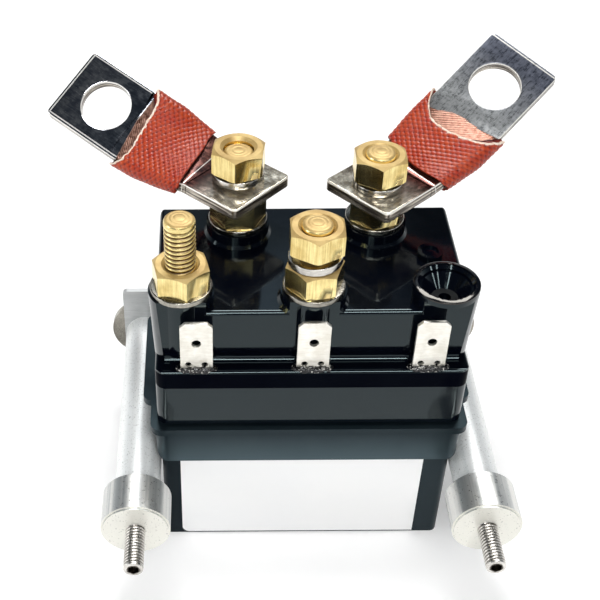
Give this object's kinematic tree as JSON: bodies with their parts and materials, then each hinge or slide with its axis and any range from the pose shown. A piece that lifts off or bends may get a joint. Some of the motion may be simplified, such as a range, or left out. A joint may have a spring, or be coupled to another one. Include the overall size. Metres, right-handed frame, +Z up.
{
  "type": "bow thruster relay",
  "caption": "Changeover relay for a bow thruster: black moulded housing, brass terminal studs, spade tabs, two sleeved copper straps and two aluminium mounting pillars.",
  "frame": {"origin": "centre of the coil case's flat underside, which the relay stands on", "axes": "+Z up through the terminal studs; -Y is the side with the spade tabs, the label and the pillar studs; +X to the right seen from that side"},
  "size_m": [0.1047, 0.0854, 0.0911],
  "materials": {
    "case_plastic": "matt moulded grey-black thermoplastic",
    "cover_plastic": "glossy black moulded thermoset",
    "rubber_seal": "soft matt black",
    "phenolic": "brown pressed phenolic board",
    "nylon": "natural nylon",
    "zinc_steel": "bright zinc plate",
    "bright_steel": "plain stainless steel",
    "copper_wire": "enamelled copper wire",
    "copper": "bare copper",
    "brass": "turned and milled bare brass",
    "tinned_copper": "tin-plated pressed copper braid, bare copper where the braid is open",
    "silicone_weave": "brick red silicone-coated woven glass sleeve with a cream cut edge",
    "tinned_brass": "satin tin plate",
    "sealant": "rough black potting compound",
    "label_film": "bare white satin film",
    "aluminium": "turned aluminium",
    "bracket_alloy": "rolled aluminium sheet"
  },
  "bodies": {
    "housing": {"coil_case": "case_plastic", "case_gasket": "rubber_seal", "top_cover": "cover_plastic", "contact_base": "phenolic", "yoke_frame": "zinc_steel", "yoke_top_plate": "zinc_steel", "bobbin_left": "nylon", "bobbin_right": "nylon", "winding_left": "copper_wire", "winding_right": "copper_wire", "core_left": "zinc_steel", "core_right": "zinc_steel", "return_spring_left": "bright_steel", "return_spring_right": "bright_steel", "plunger_pad_left": "rubber_seal", "plunger_pad_right": "rubber_seal", "positive_bar": "copper", "negative_bar": "copper", "motor_terminal_left": "copper", "motor_terminal_right": "copper", "stud_front_left": "brass", "stud_front_middle": "brass", "stud_back_left": "brass", "stud_back_right": "brass", "stud_washers": "zinc_steel", "lower_nuts": "brass", "upper_nuts": "brass", "spring_washers": "zinc_steel", "loose_spring_washer": "zinc_steel", "strap_left": "tinned_copper", "strap_right": "tinned_copper", "sleeve_left": "silicone_weave", "sleeve_right": "silicone_weave", "tab_left": "tinned_brass", "tab_middle": "tinned_brass", "tab_right": "tinned_brass", "tab_sealant": "sealant", "label": "label_film", "cover_plug": "cover_plastic", "pillar_left": "aluminium", "pillar_right": "aluminium", "pillar_stud_left": "bright_steel", "pillar_stud_right": "bright_steel", "mounting_plate": "bracket_alloy", "pillar_washers": "zinc_steel", "pillar_screws": "bright_steel", "plate_screws": "bright_steel", "case_screws": "bright_steel"},
    "left_armature": {"plunger_left": "zinc_steel", "push_rod_left": "bright_steel", "contact_spring_left": "bright_steel", "contact_bridge_left": "copper", "bridge_clip_left": "bright_steel"},
    "right_armature": {"plunger_right": "zinc_steel", "push_rod_right": "bright_steel", "contact_spring_right": "bright_steel", "contact_bridge_right": "copper", "bridge_clip_right": "bright_steel"}
  },
  "joints": [
    {"name": "left_pull_in", "type": "slide", "parent": "housing", "child": "left_armature", "axis": [0, 0, 1], "range_m": [0, 0.0025], "stiffness_N_per_m": 400, "springref_m": -0.006, "deforming": ["return_spring_left"]},
    {"name": "right_pull_in", "type": "slide", "parent": "housing", "child": "right_armature", "axis": [0, 0, 1], "range_m": [0, 0.0025], "stiffness_N_per_m": 400, "springref_m": -0.006, "deforming": ["return_spring_right"]}
  ]
}
